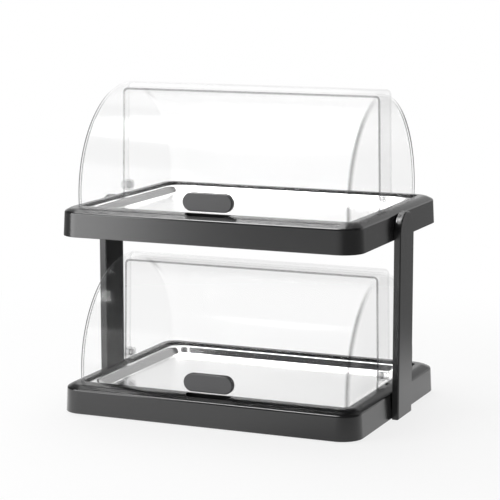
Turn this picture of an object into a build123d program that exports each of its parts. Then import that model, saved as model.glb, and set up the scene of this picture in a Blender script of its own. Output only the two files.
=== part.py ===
# Two-tier refrigerated roll-top display: two chilled trays under clear domes, one above the other.
# Each tier is a moulded deck with cooling packs and a steel tray in it, and a dome of two shells.
# The rear shell stands still and the front shell rolls up over it about two side pivots.
# Origin: on the table under the middle of the stand. +X is the right side seen from the front,
# +Y goes to the back and +Z is up. Sizes are in millimetres.

import os
from math import asin, cos, degrees, hypot, radians, sin, sqrt, tan

from build123d import *

# The stand as a whole
deck_length = 440.0
deck_depth = 350.0
tier_pitch = 248.0
foot_height = 2.4

# Deck moulding, with heights counted from its bottom edge
deck_corner = 30.0
wall_height = 34.0
wall_draft = 1.7
wall = 3.0
edge_round = 1.2
crest_rise = 6.0
crest_corner = 14.0
land_width = 6.5
ledge_drop = 4.0
rim_skin = 1.5
opening_corner = 9.0
well_wall = 2.5
well_floor_top = 6.0
well_floor = 2.5

# Finger scoop in the front rim, under the handle
scoop_width = 66.0
scoop_depth = 10.0
scoop_corner = 9.0
scoop_sink = 4.5

# Dome shells, turned about the pivot axis
dome_end_inset = 17.0
dome_front_inset = 26.0
pivot_above_crest = 12.5
shell_wall = 3.0
shell_draft = 1.0
shell_edge = 7.0
shell_gap = 3.5
lobe_radius = 15.0
lid_behind_pivot = 10.5
cover_before_pivot = 17.0

# Pivot pins and their caps
pin_radius = 4.5
pin_head_radius = 6.5
pin_head = 1.8
hub_radius = 8.0
cap_radius = 7.5
cap_wall = 1.5
cap_grip = 3.0

# Handle on each lid
handle_length = 73.0
handle_height = 25.0
handle_thickness = 7.5
handle_above_pivot = 3.5
handle_edge = 1.6
handle_screw_spacing = 44.0
handle_screw_radius = 1.5
handle_screw_head = 3.0
handle_screw_bite = 5.0

# Steel tray
tray_sheet = 0.8
tray_flange = 7.5
tray_drop = 10.0
tray_slope = 12.0
tray_mouth_corner = 28.0
tray_floor_corner = 20.0

# Cooling packs and their filler plugs
pack_gap = 10.0
pack_end_gap = 13.3
pack_side_gap = 11.0
pack_headroom = 3.0
pack_corner = 12.0
pack_edge = 4.0
pack_dish = 1.5
pack_dish_margin = 16.0
plug_radius = 9.0
plug_height = 4.0
plug_stand = 1.0
plug_inset = 30.0

# Plate that closes the underside of a deck
plate_thickness = 2.5
plate_recess = 0.4
plate_screw_radius = 1.5
plate_screw_head = 2.8
plate_screw_head_height = 1.4
plate_screw_length = 12.0
boss_radius = 4.5
side_boss_y = 75.0
front_boss_x = 110.0

# Rubber feet
foot_radius = 8.0
foot_stem_radius = 2.5
foot_stem = 3.0
foot_inset = 17.0

# Side posts
post_width = 57.0
post_depth = 9.5
post_wall = 3.0
post_rise = 37.0
post_edge = 1.6
post_foot_gap = 0.5
rib_pitch = 41.3
rib_first = 60.0
rib_height = 1.6
rib_stand = 1.8

# Screws that hold the posts to the decks
post_screw_radius = 2.0
post_screw_head = 3.6
post_screw_head_height = 2.4
post_screw_length = 12.0
post_screw_spacing = 26.0
post_screw_height = 19.0
post_boss_radius = 5.5
pad_radius = 7.0
washer_radius = 4.8
washer_thickness = 1.0

# Clearances between pieces
running_fit = 0.08
screw_fit = 0.05
drop_in = 1.0
seat_gap = 0.3
plate_gap = 0.5
lobe_gap = 1.0
post_gap = 0.1
handle_gap = 0.1
tray_gap = 1.5

# Sizes that follow from those above
half_length = deck_length / 2
half_depth = deck_depth / 2
tiers = {"lower": foot_height - plate_recess, "upper": foot_height - plate_recess + tier_pitch}
crest_height = wall_height + crest_rise
ledge_height = crest_height - ledge_drop
skin_under_rim = wall_height - rim_skin
pivot_height = crest_height + pivot_above_crest
lid_bottom = crest_height + seat_gap - pivot_height
seat_y = half_depth - dome_front_inset
lid_radius = hypot(seat_y, lid_bottom)
lid_half_length = half_length - dome_end_inset
cover_radius = lid_radius - shell_wall - shell_gap
seat_inner_y = sqrt((lid_radius - shell_wall) ** 2 - lid_bottom ** 2)
cover_half_length = lid_half_length - shell_wall - shell_gap
opening_half_length = cover_half_length + drop_in
opening_half_depth = seat_inner_y - seat_gap
crest_half_length = opening_half_length + land_width
crest_half_depth = opening_half_depth + land_width
flange_half_length = opening_half_length - drop_in
flange_half_depth = opening_half_depth - drop_in
mouth_half_length = flange_half_length - tray_flange
mouth_half_depth = flange_half_depth - tray_flange
well_half_length = mouth_half_length + tray_sheet + tray_gap
well_half_depth = mouth_half_depth + tray_sheet + tray_gap
well_corner = tray_mouth_corner + tray_sheet + tray_gap
flange_top = ledge_height + tray_sheet
cover_bottom = flange_top - pivot_height
pack_length = well_half_length - pack_gap / 2 - pack_end_gap
pack_depth = 2 * (well_half_depth - pack_side_gap)
pack_height = ledge_height - tray_drop - pack_headroom - well_floor_top
pack_spacing = pack_length + pack_gap
channel_middle_x = (half_length - wall + well_half_length + well_wall) / 2
channel_middle_y = (half_depth - wall + well_half_depth + well_wall) / 2
post_top = tiers["upper"] + post_rise
post_inner_x = half_length + post_gap


# A flat rounded rectangle at a height, given its half sizes
def outline(half_x, half_y, corner, z):
    return Pos(0, 0, z) * RectangleRounded(2 * half_x, 2 * half_y, corner)


# An upright block with rounded corners
def block(half_x, half_y, corner, z_low, z_high):
    return extrude(outline(half_x, half_y, corner, z_low), amount=z_high - z_low)


# A straight-sided solid through a stack of rounded rectangles
def stack(sections):
    return loft([outline(*section) for section in sections], ruled=True)


# A round bar along X, Y or Z between two coordinates
def bar(axis, radius, start, end, a=0.0, b=0.0):
    low, high = min(start, end), max(start, end)
    plane = {"x": Plane.YZ, "y": Plane.ZX, "z": Plane.XY}[axis]
    spot = {"x": (low, a, b), "y": (a, low, b), "z": (a, b, low)}[axis]
    return extrude(Plane(origin=spot, z_dir=plane.z_dir) * Circle(radius), amount=high - low)


# The outer wall's inset at a height
def wall_inset(height):
    return wall_draft * height / wall_height


# Outer sections of a deck, from the bottom edge up over the rounded edge to the crest
def deck_sections(steps=6, edge_steps=3):
    sections = [(half_length, half_depth, deck_corner, 0.0)]
    corner = deck_corner - wall_draft
    slope = degrees(asin(min(1.0, (crest_height - wall_height) / (half_length - crest_half_length))))
    for step in range(edge_steps + 1):
        turn = radians((90 - slope) * step / edge_steps)
        inset = wall_draft + edge_round * (1 - cos(turn))
        height = wall_height - edge_round * (1 - sin(turn))
        sections.append((half_length - inset, half_depth - inset, corner - inset + wall_draft, height))
    last_x, last_y, last_corner, last_z = sections[-1]
    for step in range(1, steps + 1):
        run = step / steps
        rise = sin(radians(90 * run))
        sections.append((
            last_x + (crest_half_length - last_x) * run,
            last_y + (crest_half_depth - last_y) * run,
            last_corner + (crest_corner - last_corner) * run,
            last_z + (crest_height - last_z) * rise,
        ))
    return sections


# Places of the screws that hold a deck's bottom plate
def plate_screw_spots():
    sides = [(sx * channel_middle_x, sy * side_boss_y) for sx in (-1, 1) for sy in (-1, 1)]
    ends = [(sx * front_boss_x, sy * channel_middle_y) for sx in (-1, 1) for sy in (-1, 1)]
    return sides + ends


# Places of the feet, near the corners of the lower deck
def foot_spots():
    x, y = half_length - foot_inset, half_depth - 2 * foot_inset
    return [(sx * x, sy * y) for sx in (-1, 1) for sy in (-1, 1)]


# The two screws that a post has in each deck, along Y
def post_screw_rows():
    return [-post_screw_spacing / 2, post_screw_spacing / 2]


# One deck: draughted wall, pillow rim, ledge, well, screw bosses, post pads and finger scoop
def make_deck(base):
    body = stack(deck_sections())
    body -= block(opening_half_length, opening_half_depth, opening_corner, ledge_height, crest_height + 1)
    body -= block(well_half_length, well_half_depth, well_corner, well_floor_top, ledge_height + 1)

    inset_top = wall_inset(skin_under_rim) + wall
    hollow = stack([
        (half_length - wall, half_depth - wall, deck_corner - wall, -1.0),
        (half_length - inset_top, half_depth - inset_top, deck_corner - inset_top, skin_under_rim),
    ])
    well = block(well_half_length + well_wall, well_half_depth + well_wall, well_corner + well_wall,
                 well_floor_top - well_floor, crest_height)
    body -= hollow - well

    plate_top = plate_recess + plate_thickness
    for x, y in plate_screw_spots():
        body += bar("z", boss_radius, plate_top, skin_under_rim + 0.5, x, y)
        body -= bar("z", plate_screw_radius + screw_fit, 0, plate_screw_length + 1, x, y)

    pad_inner = half_length - pad_depth
    for side in (-1, 1):
        for y in post_screw_rows():
            body += bar("x", pad_radius, side * pad_inner, side * half_length, y, post_screw_height)
            body -= bar("x", post_screw_radius + screw_fit, side * (pad_inner - 1),
                        side * (half_length + 1), y, post_screw_height)
        body -= bar("x", lobe_radius + lobe_gap, side * (opening_half_length - 1),
                    side * (lid_half_length + lobe_gap), 0, pivot_height)

    pocket_y = -(seat_y + seat_gap)
    pocket = Pos(0, pocket_y - scoop_depth / 2) * Rectangle(scoop_width, scoop_depth)
    pocket = fillet(pocket.vertices().group_by(Axis.Y)[0], scoop_corner)
    body -= Pos(0, 0, crest_height - scoop_sink) * extrude(pocket, amount=scoop_sink + 1)
    return Pos(0, 0, base) * body


# Plate that closes a deck from below, with screw holes and, under the lower deck, foot holes
def make_plate(base, with_feet):
    inset = wall + plate_gap
    plate = block(half_length - inset, half_depth - inset, deck_corner - inset,
                  plate_recess, plate_recess + plate_thickness)
    for x, y in plate_screw_spots():
        plate -= bar("z", plate_screw_radius + 4 * screw_fit, 0, 4 * plate_thickness, x, y)
        plate -= bar("z", plate_screw_head + 4 * screw_fit, 0, plate_recess + plate_screw_head_height, x, y)
    if with_feet:
        for x, y in foot_spots():
            plate -= bar("z", foot_stem_radius + screw_fit, 0, 4 * plate_thickness, x, y)
    return Pos(0, 0, base) * plate


# Screws of a deck's bottom plate
def make_plate_screws(base):
    head_low = plate_recess + 0.1
    head_high = plate_recess + plate_screw_head_height
    screws = []
    for x, y in plate_screw_spots():
        screw = bar("z", plate_screw_head, head_low, head_high, x, y)
        screw += bar("z", plate_screw_radius, head_high, plate_screw_length, x, y)
        screws.append(Pos(0, 0, base) * screw)
    return Compound(children=screws)


# Rubber feet with stems pushed through the lower plate
def make_feet():
    feet = []
    for x, y in foot_spots():
        foot = Pos(x, y, 0) * extrude(Circle(foot_radius), amount=foot_height)
        foot = chamfer(foot.edges().sort_by(Axis.Z)[0], foot_height / 4)
        foot += bar("z", foot_stem_radius, foot_height, foot_height + foot_stem, x, y)
        feet.append(foot)
    return Compound(children=feet)


# One cooling pack: a flat bottle with a dished top, standing on the well's floor
def make_pack(base, side):
    low = well_floor_top
    pack = block(pack_length / 2, pack_depth / 2, pack_corner, low, low + pack_height)
    pack = fillet(pack.faces().sort_by(Axis.Z)[-1].edges(), pack_edge)
    pack = fillet(pack.faces().sort_by(Axis.Z)[0].edges(), pack_edge)
    dish = block(pack_length / 2 - pack_dish_margin, pack_depth / 2 - pack_dish_margin - plug_inset,
                 pack_corner / 2, low + pack_height - pack_dish, low + pack_height + 1)
    pack -= dish
    plug_low = low + pack_height + plug_stand - plug_height
    pack -= bar("z", plug_radius + running_fit, plug_low, low + pack_height + 1, 0, plug_spot_y)
    return Pos(side * pack_spacing / 2, 0, base) * pack


# Filler plugs of the two packs of a tier
def make_plugs(base):
    low = well_floor_top + pack_height + plug_stand - plug_height
    plugs = []
    for side in (-1, 1):
        plug = bar("z", plug_radius, low, low + plug_height, side * pack_spacing / 2, plug_spot_y)
        plugs.append(Pos(0, 0, base) * plug)
    return Compound(children=plugs)


# One pressed steel tray, hung by its flange on the deck's ledge
def make_tray(base):
    low = ledge_height - tray_drop
    flange = block(flange_half_length, flange_half_depth, opening_corner - drop_in, ledge_height, flange_top)
    bowl = stack([
        (mouth_half_length + tray_sheet, mouth_half_depth + tray_sheet,
         tray_mouth_corner + tray_sheet, ledge_height + tray_sheet / 2),
        (mouth_half_length - tray_slope + tray_sheet, mouth_half_depth - tray_slope + tray_sheet,
         tray_floor_corner + tray_sheet, low),
    ])
    inside = stack([
        (mouth_half_length, mouth_half_depth, tray_mouth_corner, flange_top + 0.01),
        (mouth_half_length - tray_slope, mouth_half_depth - tray_slope, tray_floor_corner, low + tray_sheet),
    ])
    return Pos(0, 0, base) * (flange + bowl - inside)


# A closed drum about the X axis with coned ends and rounded rims
def drum(radius, half_x, edge):
    lean = radius * tan(radians(shell_draft))
    sketch = Polyline((-half_x, 0), (half_x, 0), (half_x - lean, radius), (-half_x + lean, radius), close=True)
    face = make_face(sketch)
    face = fillet(face.vertices().group_by(Axis.Y)[-1], edge)
    return revolve(face, Axis.X)


# A hollow drum, of which the dome's two shells are cut
def hollow_drum(radius, half_x):
    return drum(radius, half_x, shell_edge) - drum(radius - shell_wall, half_x - shell_wall,
                                                   shell_edge - shell_wall)


# A long bar whose section in Y and Z is a rectangle between two corners
def section_box(y_low, y_high, z_low, z_high):
    centre = ((y_low + y_high) / 2, (z_low + z_high) / 2)
    size_x = 2 * lid_half_length + 10
    return Pos(0, *centre) * Box(size_x, y_high - y_low, z_high - z_low)


# The front shell that rolls up, closed at the front and open behind the pivots
def make_lid(base):
    reach = lid_radius + 5
    keep = section_box(-reach, 0, lid_bottom, reach) + section_box(-1, lid_behind_pivot, 0, reach)
    keep += bar("x", lobe_radius, -lid_half_length - 5, lid_half_length + 5)
    lid = hollow_drum(lid_radius, lid_half_length) & keep
    lid -= bar("x", pin_radius + running_fit, -lid_half_length - 5, lid_half_length + 5)
    for x in handle_screw_spots():
        lid -= bar("y", handle_screw_radius + 2 * screw_fit, -reach, 0, x, handle_above_pivot)
        lid -= screw_cone(x, screw_fit)
    return Pos(0, 0, base + pivot_height) * lid


# The rear shell, standing on the tray's flange, with the hubs that carry the lid
def make_cover(base):
    reach = cover_radius + 5
    keep = section_box(-cover_before_pivot, reach, cover_bottom, reach)
    keep += bar("x", lobe_radius, -cover_half_length - 5, cover_half_length + 5)
    cover = hollow_drum(cover_radius, cover_half_length) & keep
    for side in (-1, 1):
        cover += bar("x", hub_radius, side * (cover_half_length - shell_wall / 2),
                     side * (lid_half_length - shell_wall - hub_gap))
    cover -= bar("x", pin_radius + screw_fit, -lid_half_length - 5, lid_half_length + 5)
    return Pos(0, 0, base + pivot_height) * cover


# The two pivot pins of a dome, heads outside
def make_pins(base):
    pins = []
    for side in (-1, 1):
        head_in = lid_half_length + pin_head_gap
        pin = bar("x", pin_radius, side * pin_end, side * (head_in + pin_head / 2))
        head = bar("x", pin_head_radius, side * head_in, side * (head_in + pin_head))
        rim = head.faces().sort_by(Axis.X)[-1 if side > 0 else 0].edges()
        pins.append(Pos(0, 0, base + pivot_height) * (fillet(rim, pin_head / 2.5) + pin))
    return Compound(children=pins)


# The two caps that hold the pins from inside
def make_caps(base):
    caps = []
    for side in (-1, 1):
        outer_face = cover_half_length - shell_wall - 2 * pin_head_gap
        cap = bar("x", cap_radius, side * (pin_end - cap_wall), side * outer_face)
        rim = cap.faces().sort_by(Axis.X)[0 if side > 0 else -1].edges()
        cap = fillet(rim, cap_wall / 2)
        cap -= bar("x", pin_radius + screw_fit, side * (pin_end - screw_fit), side * (outer_face + 1))
        caps.append(Pos(0, 0, base + pivot_height) * cap)
    return Compound(children=caps)


# Places of the handle's two screws along X
def handle_screw_spots():
    return [-handle_screw_spacing / 2, handle_screw_spacing / 2]


# The countersunk head of a handle screw, in the lid's front wall
def screw_cone(x, clearance):
    depth = handle_screw_head - handle_screw_radius
    start = Plane(origin=(x, -(seat_head - clearance), handle_above_pivot), z_dir=(0, -1, 0))
    wide, narrow = handle_screw_head + clearance, handle_screw_radius + clearance
    return loft([start * Circle(wide), start.offset(depth) * Circle(narrow)], ruled=True)


# The pill-shaped handle, hollowed at the back to the lid's curve
def make_handle(base):
    front = -(lid_radius + handle_thickness)
    plane = Plane(origin=(0, front, handle_above_pivot), x_dir=(1, 0, 0), z_dir=(0, 1, 0))
    pill = extrude(plane * SlotOverall(handle_length, handle_height), amount=2 * handle_thickness)
    pill = fillet(pill.faces().sort_by(Axis.Y)[0].edges(), handle_edge)
    pill -= bar("x", lid_radius + handle_gap, -handle_length, handle_length)
    for x in handle_screw_spots():
        pill -= bar("y", handle_screw_radius + screw_fit, screw_tip - 1, 0, x, handle_above_pivot)
    return Pos(0, 0, base + pivot_height) * pill


# Countersunk screws that hold the handle from inside the lid
def make_handle_screws(base):
    screws = []
    for x in handle_screw_spots():
        screw = screw_cone(x, 0)
        screw += bar("y", handle_screw_radius, screw_tip, -seat_head, x, handle_above_pivot)
        screws.append(Pos(0, 0, base + pivot_height) * screw)
    return Compound(children=screws)


# One side post: a channel open towards the decks, with an arched top, ribs and screw bosses
def make_post(side):
    arch = post_width / 2
    height = post_top - post_foot_gap

    def shape(inset, z_low):
        width = post_width - 2 * inset
        shaft = Pos(0, (post_top - arch + z_low) / 2) * Rectangle(width, post_top - arch - z_low)
        return shaft + Pos(0, post_top - arch) * Circle(arch - inset)

    plane = Plane(origin=(post_inner_x, 0, 0), x_dir=(0, 1, 0), z_dir=(1, 0, 0))
    post = extrude(plane * shape(0, post_foot_gap), amount=post_depth)
    post = fillet(post.faces().sort_by(Axis.X)[-1].edges(), post_edge)
    channel = extrude(plane * shape(post_wall, post_foot_gap + post_wall), amount=post_depth - post_wall)
    post -= channel

    web = post_inner_x + post_depth - post_wall
    rib_z = rib_first
    while rib_z < tiers["upper"] - rib_pitch / 3:
        post += Pos(web - rib_stand / 2, 0, rib_z) * Box(rib_stand, post_width - post_wall, rib_height)
        rib_z += rib_pitch
    for base in tiers.values():
        for y in post_screw_rows():
            z = base + post_screw_height
            post += bar("x", post_boss_radius, post_inner_x, web + post_wall / 2, y, z)
            post -= bar("x", post_screw_radius + screw_fit, post_inner_x - 1, screw_end + 0.5, y, z)
    return post if side > 0 else mirror(post, about=Plane.YZ)


# Screws that go from inside each deck into the posts
def make_post_screws():
    seat = half_length - pad_depth - washer_thickness
    screws = []
    for base in tiers.values():
        for side in (-1, 1):
            for y in post_screw_rows():
                z = base + post_screw_height
                screw = bar("x", post_screw_head, side * (seat - post_screw_head_height), side * seat, y, z)
                screw += bar("x", post_screw_radius, side * seat, side * screw_end, y, z)
                screws.append(screw)
    return Compound(children=screws)


# Washers under the heads of the post screws
def make_post_washers():
    seat = half_length - pad_depth
    washers = []
    for base in tiers.values():
        for side in (-1, 1):
            for y in post_screw_rows():
                z = base + post_screw_height
                ring = bar("x", washer_radius, side * (seat - washer_thickness), side * seat, y, z)
                ring -= bar("x", post_screw_radius + screw_fit, side * (seat - 5), side * (seat + 5), y, z)
                washers.append(ring)
    return Compound(children=washers)


# Places that depend on how the pieces sit on each other
pad_depth = wall + wall_inset(post_screw_height + pad_radius) + 1.5
screw_end = half_length - pad_depth - washer_thickness + post_screw_length
hub_gap = 2 * running_fit + hub_radius * tan(radians(shell_draft))
pin_head_gap = 2 * running_fit
pin_end = cover_half_length - shell_wall - cap_grip
seat_head = sqrt((lid_radius - shell_wall) ** 2 - handle_above_pivot ** 2)
screw_tip = -(lid_radius + handle_screw_bite)
plug_spot_y = pack_depth / 2 - plug_inset

# Every piece, under the name it goes by
pieces = {
    "left_post": make_post(-1),
    "right_post": make_post(1),
    "post_screws": make_post_screws(),
    "post_washers": make_post_washers(),
    "rubber_feet": make_feet(),
}
for tier, base in tiers.items():
    pieces[f"{tier}_deck"] = make_deck(base)
    pieces[f"{tier}_base_plate"] = make_plate(base, tier == "lower")
    pieces[f"{tier}_base_screws"] = make_plate_screws(base)
    pieces[f"{tier}_left_cooling_pack"] = make_pack(base, -1)
    pieces[f"{tier}_right_cooling_pack"] = make_pack(base, 1)
    pieces[f"{tier}_filler_plugs"] = make_plugs(base)
    pieces[f"{tier}_tray"] = make_tray(base)
    pieces[f"{tier}_rear_cover"] = make_cover(base)
    pieces[f"{tier}_front_lid"] = make_lid(base)
    pieces[f"{tier}_pivot_pins"] = make_pins(base)
    pieces[f"{tier}_pivot_caps"] = make_caps(base)
    pieces[f"{tier}_handle"] = make_handle(base)
    pieces[f"{tier}_handle_screws"] = make_handle_screws(base)

os.makedirs("parts", exist_ok=True)
for name, shape in pieces.items():
    export_step(shape, f"parts/{name}.step")
    print(name, len(shape.solids()), round(sum(s.volume for s in shape.solids()) / 1000, 2), "cm3")
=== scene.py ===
from math import atan2, cos, pi, radians, sin, sqrt

import bmesh
import bpy
from mathutils import Matrix, Vector


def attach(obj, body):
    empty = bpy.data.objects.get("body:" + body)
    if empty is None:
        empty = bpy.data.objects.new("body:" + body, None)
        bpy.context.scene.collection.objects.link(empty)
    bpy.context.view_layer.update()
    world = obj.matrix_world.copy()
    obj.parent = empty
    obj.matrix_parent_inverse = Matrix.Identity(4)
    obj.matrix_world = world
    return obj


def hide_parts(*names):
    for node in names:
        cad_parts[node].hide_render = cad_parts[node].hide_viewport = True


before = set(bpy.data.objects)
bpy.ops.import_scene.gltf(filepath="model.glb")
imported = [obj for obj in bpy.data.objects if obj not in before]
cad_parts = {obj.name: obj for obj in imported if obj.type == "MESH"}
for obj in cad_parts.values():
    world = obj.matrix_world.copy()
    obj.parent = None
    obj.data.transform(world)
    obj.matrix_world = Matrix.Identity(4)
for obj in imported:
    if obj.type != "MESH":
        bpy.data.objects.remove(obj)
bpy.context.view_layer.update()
mm = 0.001
scene = bpy.context.scene
scene.view_settings.view_transform = "Standard"
scene.cycles.transparent_max_bounces = 40   # many clear walls stand one behind the other
print("frame loaded:", len(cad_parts), "nodes")


# An object made of a finished mesh
def addObject(name, bm):
    mesh = bpy.data.meshes.new(name)
    bm.to_mesh(mesh)
    bm.free()
    made = bpy.data.objects.new(name, mesh)
    scene.collection.objects.link(made)
    return made


# The corners of a new flat face, which reaches 1 to each side before it is placed
def flatSheet(bm, place):
    return bmesh.ops.create_grid(bm, x_segments=1, y_segments=1, size=1, matrix=place)["verts"]


# Camera, lights, floor

view = {
    "azimuth": 23.09,
    "elevation": 9.255,
    "distance": 2.6934,
    "aim": (-0.0044, 0.0, 0.2185),
    "lens": 136.8,
    "sensorWidth": 36,
    "nearClip": 0.05,
    "farClip": 60,
}


def turnTowards(thing, direction):
    thing.rotation_mode = "QUATERNION"
    thing.rotation_quaternion = direction.to_track_quat("-Z", "Y")


def makeCamera():
    camera = bpy.data.objects.new("camera", bpy.data.cameras.new("camera"))
    scene.collection.objects.link(camera)
    turn = radians(view["azimuth"])
    rise = radians(view["elevation"])
    back = Vector((sin(turn) * cos(rise), -cos(turn) * cos(rise), sin(rise)))
    camera.location = Vector(view["aim"]) + back * view["distance"]
    turnTowards(camera, -back)
    camera.data.sensor_width = view["sensorWidth"]
    camera.data.lens = view["lens"]
    camera.data.clip_start = view["nearClip"]
    camera.data.clip_end = view["farClip"]
    scene.camera = camera


# A band is where something fades: from its first number, in full at its second.
studio = {
    # name, place, width, height, power in watts, whether it lights matt surfaces too
    "lamps": [
        ("left softbox", (-1.17, -1.3, 0.45), 1.0, 1.2, 21, True),
        ("top softbox", (-0.32, 0.45, 1.7), 1.0, 1.3, 15, True),
        ("highlight strip", (-0.45, -0.42, 1.5), 0.75, 0.8, 34, False),
        ("rear wash", (-0.85, 1.35, 1.3), 1.0, 1.0, 4.5, False),
    ],
    "lampAim": (0, 0, 0.2),
    "ambient": 0.4,
    # the room as the object mirrors it: a white wall behind, darker in front and above
    "frontGloss": 0.12,
    "wallBand": (0.4, 0.75),
    "highGloss": 0.4,
    "highBand": (0.2, 0.45),
    "floorSize": 30,
    "floorColour": (0.985, 0.985, 0.985, 1),
    "leastGlow": 0.8,            # the share of even white in the floor near the object, where shadows fall
    "shadowBand": (0.42, 0.95),
    # the floor as the object mirrors it: bright ahead to the left, and bright close to the object
    "brightFrom": (0, 0.15, 0),
    "brightTowards": (-0.39, -0.92, 0),
    "towardsBand": (0.66, 0.97),
    "brightGloss": (2.05, 1.3),
    "brightBand": (0.7, 2.0),
    "asideGloss": (1.15, 0.38),
    "asideBand": (0.3, 0.7),
}


# One socket of a node tree, so that maths can be written as an expression
class Wire:
    def __init__(self, tree, socket):
        self.tree = tree
        self.socket = socket

    def maths(self, operation, first, second):
        return self.tree.node("ShaderNodeMath", {"operation": operation}, {0: first, 1: second})

    def __add__(self, other):
        return self.maths("ADD", self, other)

    def __radd__(self, other):
        return self.maths("ADD", other, self)

    def __sub__(self, other):
        return self.maths("SUBTRACT", self, other)

    def __rsub__(self, other):
        return self.maths("SUBTRACT", other, self)

    def __mul__(self, other):
        return self.maths("MULTIPLY", self, other)

    def __rmul__(self, other):
        return self.maths("MULTIPLY", other, self)

    def __pow__(self, other):
        return self.maths("POWER", self, other)

    def atMost(self, other):
        return self.maths("MINIMUM", self, other)


# A node tree with one method that makes any node, and short forms for what is used often
class Tree:
    def __init__(self, owner):
        owner.use_nodes = True
        self.nodes = owner.node_tree.nodes
        self.links = owner.node_tree.links
        self.nodes.clear()

    def node(self, kind, settings=None, inputs=None, output=0):
        made = self.nodes.new(kind)
        for key, value in (settings or {}).items():
            setattr(made, key, value)
        for key, value in (inputs or {}).items():
            if isinstance(value, Wire):
                self.links.new(value.socket, made.inputs[key])
            else:
                made.inputs[key].default_value = value
        return Wire(self, made.outputs[output]) if made.outputs else None

    def rays(self, *kinds):
        return [self.node("ShaderNodeLightPath", output=f"Is {kind} Ray") for kind in kinds]

    def fade(self, value, band, start=0.0, end=1.0):
        return self.node("ShaderNodeMapRange", {"interpolation_type": "SMOOTHSTEP"}, {
            "Value": value, "From Min": band[0], "From Max": band[1], "To Min": start, "To Max": end})

    def noise(self, size, detail=2, stretch=(1, 1, 1)):
        point = self.node("ShaderNodeTexCoord", output="Object")
        scale = tuple(1 / (size * part) for part in stretch)
        placed = self.node("ShaderNodeMapping", {}, {"Vector": point, "Scale": scale})
        return self.node("ShaderNodeTexNoise", {}, {"Vector": placed, "Scale": 1, "Detail": detail})

    def blend(self, amount, first, second):
        return self.node("ShaderNodeMix", {"data_type": "RGBA"}, {0: amount, 6: first, 7: second}, output=2)

    def bump(self, height, depth):
        return self.node("ShaderNodeBump", {}, {"Height": height, "Distance": depth})


def makeWorld():
    world = bpy.data.worlds.new("studio")
    scene.world = world
    tree = Tree(world)
    seen, glossy, through = tree.rays("Camera", "Glossy", "Transmission")
    direct = (seen + through).atMost(1)
    towards = tree.node("ShaderNodeTexCoord", output="Generated")
    backwards = tree.node("ShaderNodeSeparateXYZ", {}, {0: towards}, output="Y")
    upwards = tree.node("ShaderNodeSeparateXYZ", {}, {0: towards}, output="Z")
    wall = tree.fade(backwards, studio["wallBand"], studio["frontGloss"], 1.0)
    low = tree.fade(upwards, studio["highBand"], 1.0, studio["highGloss"])
    mirrored = wall * low
    strength = direct + (1 - direct) * (glossy * mirrored + (1 - glossy) * studio["ambient"])
    light = tree.node("ShaderNodeBackground", {}, {"Color": (1, 1, 1, 1), "Strength": strength})
    tree.node("ShaderNodeOutputWorld", {}, {"Surface": light})


def makeFloor():
    bm = bmesh.new()
    half = studio["floorSize"] / 2
    flatSheet(bm, Matrix.Diagonal((half, half, 1, 1)))
    floor = addObject("floor", bm)
    material = bpy.data.materials.new("pale floor")
    tree = Tree(material)
    point = tree.node("ShaderNodeTexCoord", output="Object")
    away = tree.node("ShaderNodeVectorMath", {"operation": "LENGTH"}, {0: point}, output="Value")
    far = tree.fade(away, studio["shadowBand"])
    seen, glossy, through = tree.rays("Camera", "Glossy", "Transmission")
    direct = (seen + glossy + through).atMost(1)
    paint = tree.node("ShaderNodeBsdfDiffuse", {}, {"Color": studio["floorColour"]})
    offset = tree.node("ShaderNodeVectorMath", {"operation": "SUBTRACT"}, {0: point, 1: studio["brightFrom"]})
    towards = tree.node("ShaderNodeVectorMath", {"operation": "NORMALIZE"}, {0: offset})
    forwards = tree.node("ShaderNodeVectorMath", {"operation": "DOT_PRODUCT"},
                         {0: towards, 1: studio["brightTowards"]}, output="Value")
    aside = tree.fade(away, studio["asideBand"], *studio["asideGloss"])
    bright = tree.fade(away, studio["brightBand"], *studio["brightGloss"])
    mirrored = tree.fade(forwards, studio["towardsBand"], aside, bright)
    glow = tree.node("ShaderNodeEmission", {}, {"Strength": glossy * mirrored + (1 - glossy)})
    least = studio["leastGlow"]
    both = tree.node("ShaderNodeMixShader", {}, {0: (far * (1 - least) + least) * direct, 1: paint, 2: glow})
    tree.node("ShaderNodeOutputMaterial", {}, {"Surface": both})
    floor.data.materials.append(material)


def makeLamps():
    for name, place, width, height, power, lightsMatt in studio["lamps"]:
        lamp = bpy.data.lights.new(name, "AREA")
        lamp.shape = "RECTANGLE"
        lamp.size = width
        lamp.size_y = height
        lamp.energy = power
        holder = bpy.data.objects.new(name, lamp)
        holder.location = place
        holder.visible_diffuse = lightsMatt
        turnTowards(holder, Vector(studio["lampAim"]) - Vector(place))
        scene.collection.objects.link(holder)


makeCamera()
makeWorld()
makeFloor()
makeLamps()
print("camera, lights and floor ready")


# Materials: grain and depth are in metres

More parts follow.
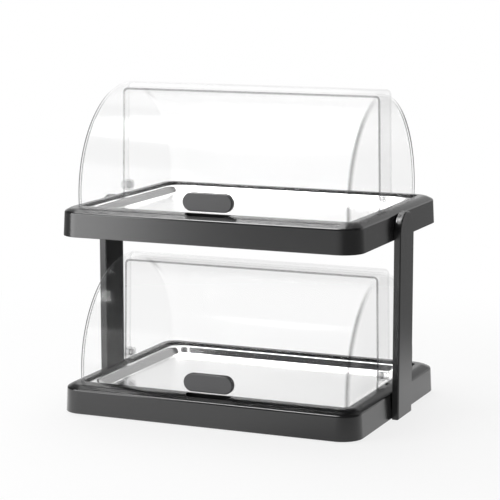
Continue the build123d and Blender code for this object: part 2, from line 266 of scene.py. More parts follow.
finishes = {
    "deckPlastic": {"colour": (0.011, 0.011, 0.0115, 1), "roughness": 0.22, "grain": 0.00045, "depth": 5e-6},
    "postPlastic": {"colour": (0.012, 0.012, 0.0125, 1), "roughness": 0.26, "grain": 0.00045, "depth": 5e-6},
    "handlePlastic": {"colour": (0.05, 0.05, 0.052, 1), "roughness": 0.42, "grain": 0.0004, "depth": 5e-6},
    # edgePlastic is painted lighter than deckPlastic, a painted highlight along the deck's outer top edge; it
    # is glossier too
    "edgePlastic": {"colour": (0.016, 0.016, 0.0165, 1), "roughness": 0.1, "grain": 0.00045, "depth": 2e-6},
    # hollowPlastic is painted darker than the deck, as painted shade in the hollows: the scoop and the post
    # channels
    "hollowPlastic": {"colour": (0.006, 0.006, 0.0063, 1), "roughness": 0.5, "grain": 0.00045, "depth": 5e-6,
                      "gloss": 0.1},
    "platePlastic": {"colour": (0.03, 0.03, 0.032, 1), "roughness": 0.5, "grain": 0.0008, "depth": 4e-5},
    "packPlastic": {"colour": (0.1, 0.33, 0.62, 1), "roughness": 0.38, "grain": 0.0012, "depth": 5e-5},
    "plugPlastic": {"colour": (0.8, 0.82, 0.84, 1), "roughness": 0.35, "grain": 0.0006, "depth": 5e-6},
    "footRubber": {"colour": (0.02, 0.02, 0.021, 1), "roughness": 0.75, "grain": 0.0006, "depth": 6e-5},
}
moulding = {
    "gloss": 0.5, "patch": 0.06, "darker": 0.88, "lighter": 1.1, "patchGloss": 0.02, "grainGloss": 0.03,
}


def shaded(colour, factor):
    return tuple(min(1, factor * part) for part in colour[:3]) + (1,)


# Moulded plastic or rubber: a fine grain, slightly uneven gloss and colour
def mouldedMaterial(name, finish):
    material = bpy.data.materials.new(name)
    tree = Tree(material)
    patches = tree.noise(moulding["patch"])
    grain = tree.noise(finish["grain"])
    darker = shaded(finish["colour"], moulding["darker"])
    lighter = shaded(finish["colour"], moulding["lighter"])
    uneven = patches * moulding["patchGloss"] + grain * moulding["grainGloss"]
    middle = (moulding["patchGloss"] + moulding["grainGloss"]) / 2
    shader = tree.node("ShaderNodeBsdfPrincipled", {}, {
        "Base Color": tree.blend(patches, darker, lighter),
        "Roughness": uneven + (finish["roughness"] - middle),
        "Normal": tree.bump(grain, finish["depth"]),
        "Specular IOR Level": finish.get("gloss", moulding["gloss"]),
    })
    tree.node("ShaderNodeOutputMaterial", {}, {"Surface": shader})
    return material


# How much each clear part covers: where it is looked at squarely (flat), at a slant, and along it
# (graze, which grows with the power), and at the rim's bends, squarely (bend) and along (bendGraze)
# The tints of the clear parts are painted: grey where a part is looked along, and a painted dark outline at
# the bends and cut edges
bodyTint = (0.12, 0.124, 0.128, 1)
paintedOutlineTint = (0.05, 0.052, 0.055, 1)
clearLooks = {
    "clearLid": {"colour": bodyTint, "flat": 0.005, "slant": 0.022, "graze": 0.08, "power": 4,
                 "bend": 0.36, "bendGraze": 1.0},
    "clearCover": {"colour": bodyTint, "flat": 0.005, "slant": 0.022, "graze": 0.065, "power": 4,
                   "bend": 0.0, "bendGraze": 1.15},
    "lidEdge": {"colour": (0.1, 0.105, 0.11, 1), "flat": 0.12, "slant": 0.0, "graze": 0.2, "power": 4,
                "bend": 0.0, "bendGraze": 0.0},
    "coverEdge": {"colour": paintedOutlineTint, "flat": 0.6, "slant": 0.0, "graze": 0.3, "power": 4,
                  "bend": 0.0, "bendGraze": 0.0},
    "clearTurned": {"colour": bodyTint, "flat": 0.07, "slant": 0.12, "graze": 0.7, "power": 6,
                    "bend": 0.0, "bendGraze": 0.0},
}
clear = {
    "haze": 0.09, "hazeShare": 0.4, "evenShare": 0.8, "hazeTint": 1.06, "roughness": 0.035, "hazeGloss": 0.03,
    "index": 1.57, "slantBand": (0.4, 0.62), "bendBand": (0.38, 0.68),
    "mirrorRoughness": 0.14, "shine": 0.006, "grazeShine": 0.09, "shinePower": 5,
}


# Clear polished plastic: it shows where it is looked along, at its bends and at its cut edges. Its grey and
# the dark outline at its bends and cut edges are painted, in place of the light that the real plastic
# reflects and bends away
def clearMaterial(name, look):
    material = bpy.data.materials.new(name)
    tree = Tree(material)
    facing = tree.node("ShaderNodeLayerWeight", {}, {"Blend": 0.5}, output="Facing")
    bend = tree.node("ShaderNodeAttribute", {"attribute_name": "bend"}, output="Fac")
    haze = tree.noise(clear["haze"])
    slant = tree.fade(facing, clear["slantBand"])
    along = tree.fade(facing, clear["bendBand"])
    alpha = facing ** look["power"] * look["graze"] + haze * (clear["hazeShare"] * look["flat"])
    alpha = alpha + clear["evenShare"] * look["flat"] + slant * look["slant"]
    alpha = alpha + bend * (along * look["bendGraze"] + look["bend"])
    uneven = tree.blend(haze, look["colour"], shaded(look["colour"], clear["hazeTint"]))
    shader = tree.node("ShaderNodeBsdfPrincipled", {}, {
        "Base Color": tree.blend(bend, uneven, paintedOutlineTint),
        "Roughness": haze * clear["hazeGloss"] + clear["roughness"],
        "Alpha": alpha.atMost(1),
        "IOR": clear["index"],
    })
    mirror = tree.node("ShaderNodeBsdfGlossy", {}, {
        "Color": (1, 1, 1, 1),
        "Roughness": clear["mirrorRoughness"],
    })
    shine = facing ** clear["shinePower"] * clear["grazeShine"] + clear["shine"]
    both = tree.node("ShaderNodeMixShader", {}, {0: shine, 1: shader, 2: mirror})
    tree.node("ShaderNodeOutputMaterial", {}, {"Surface": both})
    return material


steels = {
    "traySteel": {"bright": (0.92, 0.92, 0.915, 1), "dull": (0.85, 0.85, 0.85, 1), "roughness": 0.17,
                  "stretch": (40, 1, 1)},
    "screwSteel": {"bright": (0.6, 0.6, 0.58, 1), "dull": (0.45, 0.45, 0.44, 1), "roughness": 0.3,
                   "stretch": (1, 1, 1)},
}
sheet = {"streak": 0.0008, "streakDetail": 3, "patch": 0.05, "patchDull": 0.6, "streakDull": 0.3,
         "streakGloss": 0.02, "patchGloss": 0.03}


# Bright stainless steel, with faint streaks along X where they are stretched
def steelMaterial(name, finish):
    material = bpy.data.materials.new(name)
    tree = Tree(material)
    streaks = tree.noise(sheet["streak"], sheet["streakDetail"], finish["stretch"])
    patches = tree.noise(sheet["patch"])
    dullness = patches * sheet["patchDull"] + streaks * sheet["streakDull"]
    uneven = streaks * sheet["streakGloss"] + patches * sheet["patchGloss"]
    middle = (sheet["streakGloss"] + sheet["patchGloss"]) / 2
    shader = tree.node("ShaderNodeBsdfPrincipled", {}, {
        "Base Color": tree.blend(dullness, finish["bright"], finish["dull"]),
        "Metallic": 1.0,
        "Roughness": uneven + (finish["roughness"] - middle),
    })
    tree.node("ShaderNodeOutputMaterial", {}, {"Surface": shader})
    return material


materials = {}
makers = ((mouldedMaterial, finishes), (clearMaterial, clearLooks), (steelMaterial, steels))
for makeMaterial, looks in makers:
    for name, look in looks.items():
        materials[name] = makeMaterial(name, look)

# the finish of each CAD node that stays
nodeFinish = {
    "left_post": "postPlastic", "right_post": "postPlastic", "post_screws": "screwSteel",
    "post_washers": "screwSteel", "rubber_feet": "footRubber",
}
tierFinish = {
    "deck": "deckPlastic", "base_plate": "platePlastic", "base_screws": "screwSteel",
    "left_cooling_pack": "packPlastic", "right_cooling_pack": "packPlastic", "filler_plugs": "plugPlastic",
    "tray": "traySteel", "rear_cover": "clearCover", "front_lid": "clearLid", "pivot_pins": "clearTurned",
    "pivot_caps": "clearTurned", "handle": "handlePlastic", "handle_screws": "screwSteel",
}
for tier in ("lower", "upper"):
    for part, finish in tierFinish.items():
        nodeFinish[f"{tier}_{part}"] = finish
for node, finish in nodeFinish.items():
    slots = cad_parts[node].data.materials
    slots.clear()
    slots.append(materials[finish])
print("materials ready:", len(materials))


# How the pieces are made
# From here on sizes are in millimetres, and addInMetres scales the finished mesh to metres.
# Angles whose names end in Degrees are in degrees, the others in radians.

tierBase = {"lower": 2.0, "upper": 250.0}
pivotHeight = 52.5   # of the domes' pivots above each deck's bottom edge
cornerSteps = 16     # segments of a lying rounded rectangle's corner
bendReach = 0.48     # the share of a leg that one bend may take up
sliver = 0.01        # left between two arcs that would otherwise meet
weld = 0.05          # points closer than this are merged after such arcs
merge = 0.001        # points closer than this are merged in a turned or cut mesh


def addInMetres(name, bm):
    bmesh.ops.scale(bm, vec=(mm, mm, mm), verts=bm.verts)
    return addObject(name, bm)


def makePiece(name, bm, body, finishNames, replaced, sharpDegrees=35, modifiers=()):
    piece = addInMetres(name, bm)
    for finishName in finishNames:
        piece.data.materials.append(materials[finishName])
    for kind, settings in modifiers:
        modifier = piece.modifiers.new(kind.lower(), kind)
        for key, value in settings.items():
            setattr(modifier, key, value)
    if modifiers:
        bakeModifiers(piece)
    softenShading(piece.data, sharpDegrees)
    weighted = piece.modifiers.new("even shading", "WEIGHTED_NORMAL")
    weighted.keep_sharp = True
    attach(piece, body)
    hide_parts(replaced)


def bakeModifiers(piece):
    bpy.context.view_layer.update()
    baked = bpy.data.meshes.new_from_object(piece.evaluated_get(bpy.context.evaluated_depsgraph_get()))
    piece.modifiers.clear()
    piece.data = baked


# Smooth shading, with the edges that turn by more than this left crisp
def softenShading(mesh, sharpDegrees):
    bm = bmesh.new()
    bm.from_mesh(mesh)
    for face in bm.faces:
        face.smooth = True
    for edge in bm.edges:
        edge.smooth = len(edge.link_faces) == 2 and edge.calc_face_angle() < radians(sharpDegrees)
    bm.to_mesh(mesh)
    bm.free()


def vertsOf(parts):
    return [part for part in parts if isinstance(part, bmesh.types.BMVert)]


# Rounds corners (VERTICES) or edges (EDGES)
def roundOff(bm, parts, size, kind, steps):
    return bmesh.ops.bevel(bm, geom=parts, offset=size, offset_type="OFFSET", affect=kind, segments=steps,
                           profile=0.5, material=-1)


# A rounded rectangle lying flat, as a face
def roundedFace(bm, halfX, halfY, corner, height):
    place = Matrix.Translation((0, 0, height)) @ Matrix.Diagonal((halfX, halfY, 1, 1))
    made = roundOff(bm, flatSheet(bm, place), corner, "VERTICES", cornerSteps)
    return made["verts"][0].link_faces[0]


# The corners of a flat face, anticlockwise from the one furthest right and back
def orderedLoop(face):
    verts = [loop.vert for loop in face.loops]
    if face.normal.z < 0:
        verts.reverse()
    start = max(range(len(verts)), key=lambda index: (round(verts[index].co.x, 3), verts[index].co.y))
    return verts[start:] + verts[:start]


# A skin through a chain of rounded rectangles, closed by a face at its end and, if asked, at its start
def skinThrough(bm, sections, closeStart=True):
    loops = []
    last = len(sections) - 1
    for index, section in enumerate(sections):
        face = roundedFace(bm, *section)
        face.normal_update()
        loops.append(orderedLoop(face))
        if index < last and not (index == 0 and closeStart):
            bmesh.ops.delete(bm, geom=[face], context="FACES_ONLY")
    for first, second in zip(loops, loops[1:]):
        for quad in zip(first, first[1:] + first[:1], second[1:] + second[:1], second):
            bm.faces.new(quad)
    bmesh.ops.recalc_face_normals(bm, faces=bm.faces)


# Rounds the bends of a chain of sections; each section ends with its bend's size
def softBends(sections, steps=5):
    made = []
    for index, (*section, bend) in enumerate(sections):
        here = Vector(section)
        if bend == 0 or index in (0, len(sections) - 1):
            made.append(tuple(here))
            continue
        ends = []
        for other in (sections[index - 1], sections[index + 1]):
            away = Vector(other[:4]) - here
            length = Vector((away[0], away[3])).length
            ends.append(here + away * min(bendReach, bend / length))
        for step in range(steps + 1):
            run = step / steps
            curve = ends[0] * (1 - run) ** 2 + here * (2 * run * (1 - run)) + ends[1] * run ** 2
            made.append(tuple(curve))
    return made


# Whatever lies in the mesh, turned about the X axis
def spinAboutX(bm, parts, steps):
    bmesh.ops.spin(bm, geom=parts, cent=(0, 0, 0), axis=(1, 0, 0), angle=2 * pi, steps=steps,
                   use_merge=True, use_duplicate=False)


# A chain of points turned about the X axis; points are (x, radius)
def latheAboutX(bm, points, steps, closed=False):
    verts = [bm.verts.new((x, 0, radius)) for x, radius in points]
    pairs = list(zip(verts, verts[1:])) + ([(verts[-1], verts[0])] if closed else [])
    edges = [bm.edges.new(pair) for pair in pairs]
    spinAboutX(bm, verts + edges, steps)


def closeAndTurnOut(bm):
    bmesh.ops.remove_doubles(bm, verts=bm.verts, dist=merge)
    bmesh.ops.recalc_face_normals(bm, faces=bm.faces)


def raiseBy(bm, height):
    bmesh.ops.translate(bm, vec=(0, 0, height), verts=bm.verts)


def cutAway(piece, cutters):
    for cutter in cutters:
        modifier = piece.modifiers.new("cut", "BOOLEAN")
        modifier.operation = "DIFFERENCE"
        modifier.solver = "MANIFOLD"
        modifier.object = cutter
    bakeModifiers(piece)
    for cutter in cutters:
        bpy.data.objects.remove(cutter)


# Decks
# Three or four numbers together are half length, half depth, corner radius and, if given, height.

deck = {
    "halfLength": 220.0, "halfDepth": 175.0, "corner": 30.0, "draft": 1.7, "wallHeight": 34.0, "wall": 3.0,
    "crest": (204.0, 152.19, 14.0), "crestHeight": 40.0, "opening": (197.5, 145.69, 9.0), "ledgeHeight": 36.0,
    "well": (191.3, 139.49, 30.3), "floorHeight": 6.0, "wellWall": 2.5, "skinHeight": 32.5,
    "rimSteps": 18, "rimEnd": 2, "edgeRound": 2.2, "softRound": 0.8, "lipRound": 0.7, "crispRound": 0.3,
    "highlightSlope": (0.08, 0.8), "flatDegrees": 0.3,
    "scoop": {"halfWidth": 33.0, "back": 149.3, "front": 163.5, "floor": 35.5, "top": 39.6, "slack": 0.05,
              "corner": 10.0, "cornerSteps": 10, "cutHeight": 12.0},
    "notch": {"radius": 16.0, "inner": 196.5, "outer": 203.9, "steps": 96},
}


# A level of the wall, this far in from the deck's bottom edge
def wallSection(inset, height, bend):
    return (deck["halfLength"] - inset, deck["halfDepth"] - inset, deck["corner"] - inset, height, bend)


# The pillow-shaped rim, from its crest down to just above the wall
def rimSections():
    crestX, crestY, crestCorner = deck["crest"]
    topX, topY, topCorner = wallSection(deck["draft"], 0, 0)[:3]
    rise = deck["crestHeight"] - deck["wallHeight"]
    made = []
    for step in range(deck["rimSteps"], deck["rimEnd"], -1):
        run = step / deck["rimSteps"]
        height = deck["wallHeight"] + rise * sin(pi / 2 * run)
        made.append((topX + (crestX - topX) * run, topY + (crestY - topY) * run,
                     topCorner + (crestCorner - topCorner) * run, height, 0))
    return made


# From the well's floor up over the rim, down the wall and up again on the inside
def deckSections():
    innerTop = deck["wall"] + deck["draft"] * deck["skinHeight"] / deck["wallHeight"]
    outWell = [part + deck["wellWall"] for part in deck["well"]]
    soft, crisp = deck["softRound"], deck["crispRound"]
    return softBends([
        (*deck["well"], deck["floorHeight"], 0),
        (*deck["well"], deck["ledgeHeight"], soft),
        (*deck["opening"], deck["ledgeHeight"], crisp),
        (*deck["opening"], deck["crestHeight"], deck["lipRound"]),
        *rimSections(),
        wallSection(deck["draft"], deck["wallHeight"], deck["edgeRound"]),
        wallSection(0, 0.0, soft),
        wallSection(deck["wall"], 0.0, crisp),
        wallSection(innerTop, deck["skinHeight"], soft),
        (*outWell, deck["skinHeight"], soft),
        (*outWell, deck["floorHeight"] - deck["wellWall"], 0),
    ])


# The narrow bend between the rim and the wall, which is glossier than the rest and painted lighter as a
# painted highlight
def onOuterEdge(face, base):
    height = face.calc_center_median().z - base
    least, most = deck["highlightSlope"]
    return abs(height - deck["wallHeight"]) < deck["edgeRound"] and least < face.normal.z < most


# The scoop's floor and sides, which are painted darker than the rest as painted shade in the hollow, and are
# duller
def insideScoop(point, base):
    scoop = deck["scoop"]
    slack = scoop["slack"]
    across = abs(point.x) <= scoop["halfWidth"] + slack
    along = scoop["back"] - slack <= -point.y <= scoop["front"] + slack
    return across and along and scoop["floor"] - 2 * slack <= point.z - base < scoop["top"]


def scoopCutter(base):
    scoop = deck["scoop"]
    middle = (scoop["back"] + scoop["front"]) / 2
    place = Matrix.Translation((0, -middle, base + scoop["floor"]))
    place = place @ Matrix.Diagonal((scoop["halfWidth"], (scoop["front"] - scoop["back"]) / 2, 1, 1))
    bm = bmesh.new()
    front = [vert for vert in flatSheet(bm, place) if vert.co.y < -middle]
    roundOff(bm, front, scoop["corner"], "VERTICES", scoop["cornerSteps"])
    risen = bmesh.ops.extrude_face_region(bm, geom=bm.faces[:])["geom"]
    bmesh.ops.translate(bm, vec=(0, 0, scoop["cutHeight"]), verts=vertsOf(risen))
    bmesh.ops.recalc_face_normals(bm, faces=bm.faces)
    return addInMetres("scoop cutter", bm)


# Room for a dome's rounded lobe at the pivot
def notchCutter(base, side):
    notch = deck["notch"]
    middle = side * (notch["inner"] + notch["outer"]) / 2
    place = Matrix.Translation((middle, 0, base + pivotHeight)) @ Matrix.Rotation(pi / 2, 4, "Y")
    bm = bmesh.new()
    bmesh.ops.create_cone(bm, cap_ends=True, segments=notch["steps"], radius1=notch["radius"],
                          radius2=notch["radius"], depth=notch["outer"] - notch["inner"], matrix=place)
    return addInMetres("notch cutter", bm)


def makeDeck(tier):
    base = tierBase[tier]
    bm = bmesh.new()
    skinThrough(bm, deckSections())
    raiseBy(bm, base)
    blank = addInMetres(f"{tier} deck blank", bm)
    cutAway(blank, [scoopCutter(base)] + [notchCutter(base, side) for side in (-1, 1)])
    bm = bmesh.new()
    bm.from_mesh(blank.data)
    bpy.data.objects.remove(blank)
    bmesh.ops.scale(bm, vec=(1 / mm, 1 / mm, 1 / mm), verts=bm.verts)
    closeAndTurnOut(bm)
    bmesh.ops.dissolve_limit(bm, angle_limit=radians(deck["flatDegrees"]), use_dissolve_boundaries=False,
                             verts=bm.verts, edges=bm.edges, delimit={"NORMAL"})
    finishNames = ["deckPlastic", "hollowPlastic", "edgePlastic"]
    for face in bm.faces:
        if insideScoop(face.calc_center_median(), base):
            face.material_index = finishNames.index("hollowPlastic")
        elif onOuterEdge(face, base):
            face.material_index = finishNames.index("edgePlastic")
    makePiece(f"{tier}_deck_shell", bm, "stand", finishNames, f"{tier}_deck")


for tier in tierBase:
    makeDeck(tier)
print("decks ready")


# Trays

tray = {
    "flange": (196.5, 144.69, 8.0, 36.8), "mouth": (189.0, 137.19, 28.0, 36.8),
    "floor": (177.0, 125.19, 20.0, 26.8), "panel": (151.0, 99.5, 12.0, 26.8),
    "mouthBend": 2.2, "floorBend": 4.0, "bendSteps": 7, "sheet": 0.8, "sharpDegrees": 50,
}


def makeTray(tier):
    bm = bmesh.new()
    sections = softBends([(*tray["flange"], 0), (*tray["mouth"], tray["mouthBend"]),
                          (*tray["floor"], tray["floorBend"]), (*tray["panel"], 0)], tray["bendSteps"])
    skinThrough(bm, sections, closeStart=False)
    panel = max(bm.faces, key=lambda face: face.calc_area())
    panel.normal_update()
    if panel.normal.z < 0:
        bmesh.ops.reverse_faces(bm, faces=bm.faces)
    raiseBy(bm, tierBase[tier])
    pressed = ("SOLIDIFY", {"thickness": tray["sheet"] * mm, "offset": -1, "use_even_offset": True})
    makePiece(f"{tier}_pressed_tray", bm, f"{tier}_tray", ["traySteel"], f"{tier}_tray",
              sharpDegrees=tray["sharpDegrees"], modifiers=[pressed])


for tier in tierBase:
    makeTray(tier)
print("trays ready")


# Domes
# Each shell is modelled about its pivot axis. The rim's bend mark, which places a painted dark outline, fades
# out towards the top of the dome, which is lit from above.

dome = {
    "wall": 3.0, "draftDegrees": 1.0, "edge": 7.0, "edgeSteps": 9, "lobe": 15.0, "hole": 4.6, "steps": 160,
    "cutNear": 0.0001, "brokenEdge": 0.35, "brokenSteps": 2, "brokenFromDegrees": 50,
    "fadeFrom": 0.3, "fadeOver": 0.5, "bendPower": 1.8,
    "lid": {"radius": 149.45, "halfLength": 203.0, "bottom": -12.2, "behind": 10.5},
    "cover": {"radius": 143.0, "halfLength": 196.5, "bottom": -15.7, "before": 17.0},
    "hub": {"radius": 8.0, "outer": 199.7, "sink": 0.1, "edge": 0.5, "steps": 48},
}
shellWall = ("SOLIDIFY", {"thickness": dome["wall"] * mm, "offset": -1, "use_even_offset": True,
                          "material_offset_rim": 1})
brokenEdges = ("BEVEL", {"width": dome["brokenEdge"] * mm, "segments": dome["brokenSteps"],
                         "limit_method": "ANGLE", "angle_limit": radians(dome["brokenFromDegrees"])})


# Where the coned end of a drum lies at a radius
def endAt(halfLength, radius):
    return halfLength - radius * sin(radians(dome["draftDegrees"]))


# The outside of a drum with coned ends and rounded rims, open at the pivot holes
def drumSkin(bm, radius, halfLength):
    half = [(endAt(halfLength, out), out) for out in (dome["hole"], dome["lobe"], radius)]
    chain = [(-x, out) for x, out in half] + half[::-1]
    verts = [bm.verts.new((x, 0, out)) for x, out in chain]
    for pair in zip(verts, verts[1:]):
        bm.edges.new(pair)
    roundOff(bm, verts[2:4], dome["edge"], "VERTICES", dome["edgeSteps"])
    spinAboutX(bm, bm.verts[:] + bm.edges[:], dome["steps"])
    closeAndTurnOut(bm)
    markBends(bm, radius, halfLength)


# How far round the rim's bend each point lies, from 0 at both its ends to 1 in the middle, faded out towards
# the top of the dome; it places the painted dark outline
def markBends(bm, radius, halfLength):
    layer = bm.verts.layers.float.new("bend")
    edge = dome["edge"]
    end = endAt(halfLength, radius)
    for vert in bm.verts:
        out = sqrt(vert.co.y ** 2 + vert.co.z ** 2) - (radius - edge)
        along = abs(vert.co.x) - (end - edge)
        if out > 0 and along > 0:
            turn = atan2(out, along) / (pi / 2)
            fromTop = abs(atan2(vert.co.y, vert.co.z))
            fade = min(1.0, max(0.0, (fromTop - dome["fadeFrom"]) / dome["fadeOver"]))
            vert[layer] = max(0.0, sin(pi * turn)) ** dome["bendPower"] * fade


# Cuts the skin at a height and at a depth, then drops the faces that keep(y, z, out) refuses, where out
# is the distance from the axis
def trimSkin(bm, bottom, side, keep):
    for place, normal in (((0, 0, bottom), (0, 0, 1)), ((0, side, 0), (0, 1, 0))):
        bmesh.ops.bisect_plane(bm, geom=bm.verts[:] + bm.edges[:] + bm.faces[:], dist=dome["cutNear"],
                               plane_co=place, plane_no=normal)
    lost = []
    for face in bm.faces:
        middle = face.calc_center_median()
        if not keep(middle.y, middle.z, sqrt(middle.y ** 2 + middle.z ** 2)):
            lost.append(face)
    bmesh.ops.delete(bm, geom=lost, context="FACES")


def makeLid(tier):
    size = dome["lid"]
    bottom, behind = size["bottom"], size["behind"]
    bm = bmesh.new()
    drumSkin(bm, size["radius"], size["halfLength"])
    trimSkin(bm, bottom, behind,
             lambda y, z, out: out < dome["lobe"] or (y <= behind and z >= bottom and not (y > 0 and z < 0)))
    raiseBy(bm, tierBase[tier] + pivotHeight)
    makePiece(f"{tier}_clear_lid", bm, f"{tier}_lid", ["clearLid", "lidEdge"],
              f"{tier}_front_lid", modifiers=[shellWall, brokenEdges])


def makeCover(tier):
    size = dome["cover"]
    bottom, before = size["bottom"], size["before"]
    bm = bmesh.new()
    drumSkin(bm, size["radius"], size["halfLength"])
    trimSkin(bm, bottom, -before, lambda y, z, out: out < dome["lobe"] or (y >= -before and z >= bottom))
    raiseBy(bm, tierBase[tier] + pivotHeight)
    makePiece(f"{tier}_clear_cover", bm, f"{tier}_cover", ["clearCover", "coverEdge"],
              f"{tier}_rear_cover", modifiers=[shellWall, brokenEdges])


# The short tubes on the cover that carry the lid
def makeHubs(tier):
    hub = dome["hub"]
    hole, radius, outer, edge = dome["hole"], hub["radius"], hub["outer"], hub["edge"]
    inner = dome["cover"]["halfLength"] - hub["sink"]
    profile = [(inner, hole), (inner, radius), (outer - edge, radius), (outer, radius - edge), (outer, hole)]
    bm = bmesh.new()
    for side in (-1, 1):
        latheAboutX(bm, [(side * x, out) for x, out in profile], hub["steps"], closed=True)
    closeAndTurnOut(bm)
    raiseBy(bm, tierBase[tier] + pivotHeight)
    makePiece(f"{tier}_cover_hubs", bm, f"{tier}_cover", ["clearTurned"],
              f"{tier}_rear_cover")


# headRound and capRound are points of a rounded rim: how far in from its face, and from its radius
pin = {
    "radius": 4.5, "end": 190.5, "tipRound": 0.4, "headIn": 203.16, "head": 1.8, "headRadius": 6.5,
    "headRound": ((0.8, 0.0), (0.25, 0.25), (0.0, 0.9)),
    "dimpleMouth": 3.7, "dimple": 3.2, "dimpleDepth": 0.5, "steps": 56,
}
cap = {
    "radius": 7.5, "inner": 189.0, "outer": 193.2, "top": 4.2,
    "capRound": ((0.25, 0.9), (0.9, 0.2), (1.5, 0.0)),
    "fit": 0.05,   # room round the pin
    "gap": 0.1,    # room at the pin's end
}


def pinProfile():
    headOut = pin["headIn"] + pin["head"]
    dimpleFloor = headOut - pin["dimpleDepth"]
    return [
        (pin["end"], 0.0), (pin["end"], pin["radius"] - pin["tipRound"]),
        (pin["end"] + pin["tipRound"], pin["radius"]), (pin["headIn"], pin["radius"]),
        (pin["headIn"], pin["headRadius"]),
        *((headOut - depth, pin["headRadius"] - inset) for depth, inset in pin["headRound"]),
        (headOut, pin["dimpleMouth"]), (dimpleFloor, pin["dimple"]), (dimpleFloor, 0.0),
    ]


def capProfile():
    bore = pin["radius"] + cap["fit"]
    seat = pin["end"] - cap["gap"]
    return [
        (cap["inner"], 0.0), (cap["inner"], cap["top"]),
        *((cap["inner"] + depth, cap["radius"] - inset) for depth, inset in cap["capRound"]),
        (cap["outer"], cap["radius"]), (cap["outer"], bore), (seat, bore), (seat, 0.0),
    ]


def makePins(tier):
    for word, profile in (("pins", pinProfile()), ("caps", capProfile())):
        bm = bmesh.new()
        for side in (-1, 1):
            latheAboutX(bm, [(side * x, out) for x, out in profile], pin["steps"])
        closeAndTurnOut(bm)
        raiseBy(bm, tierBase[tier] + pivotHeight)
        makePiece(f"{tier}_pivot_{word}_turned", bm, f"{tier}_cover", ["clearTurned"],
                  f"{tier}_pivot_{word}")


for tier in tierBase:
    makeLid(tier)
    makeCover(tier)
    makeHubs(tier)
    makePins(tier)
print("domes ready")


# Handles

handle = {"halfLength": 36.5, "halfHeight": 12.5, "front": 156.95, "gap": 0.1, "edge": 1.7, "abovePivot": 3.5,
          "endSteps": 14, "edgeSteps": 5}


# A pill whose back follows the lid
def makeHandle(tier):
    bm = bmesh.new()
    place = Matrix.Translation((0, -handle["front"], handle["abovePivot"])) @ Matrix.Rotation(pi / 2, 4, "X")
    place = place @ Matrix.Diagonal((handle["halfLength"], handle["halfHeight"], 1, 1))
    roundOff(bm, flatSheet(bm, place), handle["halfHeight"] - sliver, "VERTICES", handle["endSteps"])
    bmesh.ops.remove_doubles(bm, verts=bm.verts, dist=weld)
    risen = bmesh.ops.extrude_face_region(bm, geom=bm.faces[:])["geom"]
    radius = dome["lid"]["radius"] + handle["gap"]
    for vert in vertsOf(risen):
        vert.co.y = -sqrt(radius ** 2 - vert.co.z ** 2)
    bmesh.ops.recalc_face_normals(bm, faces=bm.faces)
    rim = [edge for edge in bm.edges if all(abs(vert.co.y + handle["front"]) < sliver for vert in edge.verts)]
    roundOff(bm, rim, handle["edge"], "EDGES", handle["edgeSteps"])
    raiseBy(bm, tierBase[tier] + pivotHeight)
    makePiece(f"{tier}_pill_handle", bm, f"{tier}_lid", ["handlePlastic"], f"{tier}_handle")


for tier in tierBase:
    makeHandle(tier)
print("handles ready")


# Posts

post = {
    "inner": 220.1, "depth": 9.5, "width": 57.0, "low": 0.5, "top": 287.0, "wall": 3.0, "edge": 1.8,
    "archSteps": 20, "edgeSteps": 5,
    "rib": {"first": 60.0, "pitch": 41.3, "end": 236.0, "stand": 1.8, "height": 1.6, "sink": 0.4,
            "edge": 0.4, "edgeSteps": 2},
    "boss": {"radius": 5.5, "y": 13.0, "height": 19.0, "steps": 40},
}


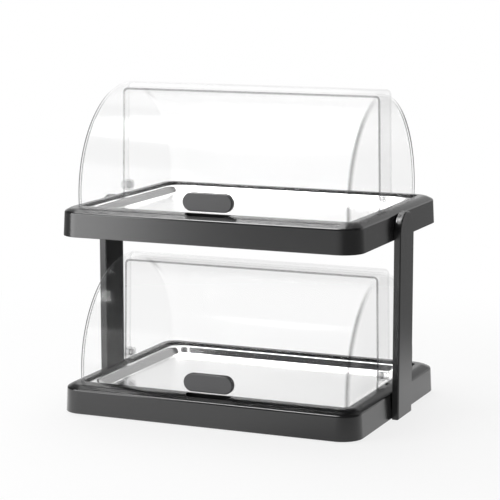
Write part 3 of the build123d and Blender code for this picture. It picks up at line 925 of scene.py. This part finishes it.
# An upright bar with an arched top, hollowed from the side that faces the decks
def postChannel(bm):
    half = post["width"] / 2
    halfHeight = (post["top"] - post["low"]) / 2
    place = Matrix.Translation((post["inner"], 0, (post["low"] + post["top"]) / 2))
    place = place @ Matrix.Rotation(pi / 2, 4, "Z") @ Matrix.Rotation(pi / 2, 4, "X")
    place = place @ Matrix.Diagonal((half, halfHeight, 1, 1))
    upper = [vert for vert in flatSheet(bm, place) if vert.co.z > post["low"] + half]
    roundOff(bm, upper, half - sliver, "VERTICES", post["archSteps"])
    bmesh.ops.remove_doubles(bm, verts=bm.verts, dist=weld)
    risen = bmesh.ops.extrude_face_region(bm, geom=bm.faces[:], use_keep_orig=True)["geom"]
    bmesh.ops.translate(bm, vec=(post["depth"], 0, 0), verts=vertsOf(risen))
    bmesh.ops.recalc_face_normals(bm, faces=bm.faces)
    outer = post["inner"] + post["depth"]
    rim = [edge for edge in bm.edges if all(vert.co.x > outer - sliver for vert in edge.verts)]
    roundOff(bm, rim, post["edge"], "EDGES", post["edgeSteps"])

    def innerFaces():
        return [face for face in bm.faces if all(vert.co.x < post["inner"] + sliver for vert in face.verts)]

    bmesh.ops.inset_region(bm, faces=innerFaces(), thickness=post["wall"], use_even_offset=True)
    middle = max(innerFaces(), key=lambda face: face.calc_area())
    outside = [face for face in bm.faces if face is not middle]
    sunk = bmesh.ops.extrude_face_region(bm, geom=[middle])["geom"]
    bmesh.ops.translate(bm, vec=(post["depth"] - post["wall"], 0, 0), verts=vertsOf(sunk))
    for face in set(bm.faces) - set(outside):
        face.material_index = 1   # hollowPlastic, painted shade inside the channel
    bmesh.ops.recalc_face_normals(bm, faces=bm.faces)


# Cross ribs on the channel's floor, which is the web
def addRibs(bm, web):
    rib = post["rib"]
    size = (rib["stand"] + rib["sink"], post["width"] - 2 * post["wall"] + rib["sink"], rib["height"], 1)
    height = rib["first"]
    while height < rib["end"]:
        at = Matrix.Translation((web - rib["stand"] / 2 + rib["sink"] / 2, 0, height))
        verts = bmesh.ops.create_cube(bm, size=1, matrix=at @ Matrix.Diagonal(size))["verts"]
        lip = [edge for edge in bm.edges if edge.verts[0] in verts and edge.verts[1] in verts
               and all(vert.co.x < web - rib["stand"] + sliver for vert in edge.verts)]
        roundOff(bm, lip, rib["edge"], "EDGES", rib["edgeSteps"])
        height += rib["pitch"]


# Posts for the screws from each deck
def addBosses(bm, web):
    boss = post["boss"]
    for base in tierBase.values():
        for y in (-boss["y"], boss["y"]):
            at = Matrix.Translation(((post["inner"] + web) / 2, y, base + boss["height"]))
            bmesh.ops.create_cone(bm, cap_ends=True, segments=boss["steps"], radius1=boss["radius"],
                                  radius2=boss["radius"], depth=web - post["inner"],
                                  matrix=at @ Matrix.Rotation(pi / 2, 4, "Y"))


def makePost(side, word):
    bm = bmesh.new()
    web = post["inner"] + post["depth"] - post["wall"]
    postChannel(bm)
    addRibs(bm, web)
    addBosses(bm, web)
    if side < 0:
        bmesh.ops.scale(bm, vec=(-1, 1, 1), verts=bm.verts)
        bmesh.ops.reverse_faces(bm, faces=bm.faces)
    makePiece(f"{word}_post_moulding", bm, "stand", ["postPlastic", "hollowPlastic"],
              f"{word}_post")


makePost(-1, "left")
makePost(1, "right")
print("posts ready")
